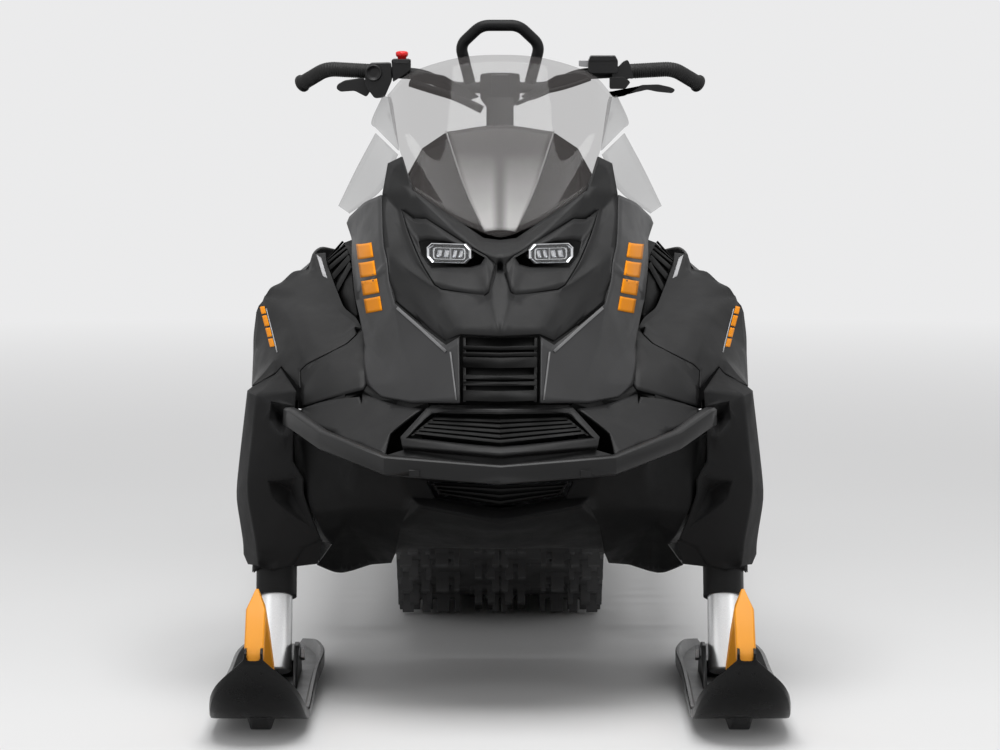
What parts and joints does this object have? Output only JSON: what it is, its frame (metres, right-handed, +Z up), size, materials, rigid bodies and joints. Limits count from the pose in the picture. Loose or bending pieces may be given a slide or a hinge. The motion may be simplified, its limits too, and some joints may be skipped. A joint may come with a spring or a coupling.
{
  "type": "snowmobile",
  "caption": "Utility snowmobile with telescopic ski legs, wide belt track, steering that turns both skis, windshield, seat and cargo rack",
  "frame": {"origin": "on the floor, at the middle of the outline of the whole machine", "axes": "+Z up, the machine faces -Y, +X is the rider's left"},
  "size_m": [0.99, 3.25, 1.1974],
  "materials": {
    "black_plastic": "matte black moulded plastic",
    "gray_plastic": "dark gray moulded plastic",
    "vent_black": "black mesh and slats",
    "orange_plastic": "orange moulded plastic",
    "red_plastic": "red push button",
    "clear_screen": "clear tinted screen",
    "lamp_lens": "clear lamp lens",
    "tail_lens": "red lamp lens",
    "track_rubber": "black rubber with cords",
    "soft_rubber": "black rubber",
    "black_metal": "satin black powder coat",
    "tunnel_metal": "satin black painted aluminium sheet",
    "bright_metal": "bright anodised aluminium",
    "bare_metal": "plain aluminium",
    "steel": "zinc plated steel",
    "spring_steel": "painted spring steel",
    "ski_plastic": "black polyethylene",
    "slider_plastic": "low-friction plastic",
    "seat_vinyl": "black seat vinyl",
    "screen_display": "dark display"
  },
  "bodies": {
    "chassis": {"tunnel": "tunnel_metal", "running_boards": "tunnel_metal", "track": "track_rubber", "slide_rails": "bare_metal", "rail_sliders": "slider_plastic", "idler_wheels": "black_plastic", "rear_axle": "steel", "drive_axle": "black_plastic", "front_arm": "black_metal", "rear_arm": "black_metal", "shock_absorbers": "bare_metal", "springs": "spring_steel", "upper_legs": "black_metal", "front_frame": "black_metal", "belly_pan": "black_plastic", "front_cowl": "black_plastic", "grilles": "vent_black", "nose_mask": "black_plastic", "headlights": "lamp_lens", "hood_panels": "gray_plastic", "side_panels": "black_plastic", "flank_panels": "black_plastic", "shoulder_panels": "black_plastic", "side_vents": "vent_black", "leg_covers": "black_plastic", "front_bumper": "black_metal", "windshield": "clear_screen", "deflectors": "clear_screen", "console": "black_plastic", "gauge": "screen_display", "fuel_tank": "black_plastic", "fuel_cap": "black_plastic", "seat_base": "black_plastic", "seat_cushion": "seat_vinyl", "cargo_rack": "black_metal", "rear_bumper": "black_metal", "snow_flap": "soft_rubber", "tail_lamp": "tail_lens", "hitch": "black_metal", "engine": "bare_metal"},
    "steering": {"handlebar": "black_metal", "grips": "soft_rubber", "handlebar_riser": "black_metal", "grab_bar": "black_metal", "throttle_control": "black_plastic", "kill_switch": "red_plastic", "brake_control": "black_plastic", "wiring_loom": "soft_rubber", "brake_hose": "soft_rubber"},
    "ski_assembly_left": {"ski_left": "ski_plastic", "ski_runner_left": "ski_plastic", "ski_handle_left": "orange_plastic", "lower_leg_left": "bright_metal", "ski_saddle_left": "black_metal"},
    "ski_assembly_right": {"ski_right": "ski_plastic", "ski_runner_right": "ski_plastic", "ski_handle_right": "orange_plastic", "lower_leg_right": "bright_metal", "ski_saddle_right": "black_metal"}
  },
  "joints": [
    {"name": "steer", "type": "hinge", "parent": "chassis", "child": "steering", "pos_m": [0, -0.3, 1.068], "axis": [0, 0.5, 0.866], "range_deg": [-32, 32]},
    {"name": "ski_turn_left", "type": "hinge", "parent": "chassis", "child": "ski_assembly_left", "pos_m": [0.4055, -1.01, 0.078], "axis": [0, 0.3584, 0.9336], "range_deg": [-28, 28]},
    {"name": "ski_turn_right", "type": "hinge", "parent": "chassis", "child": "ski_assembly_right", "pos_m": [-0.4055, -1.01, 0.078], "axis": [0, 0.3584, 0.9336], "range_deg": [-28, 28]}
  ],
  "couplings": [
    {"joint": "ski_turn_left", "follows": "steer", "ratio": 0.875},
    {"joint": "ski_turn_right", "follows": "steer", "ratio": 0.875}
  ]
}
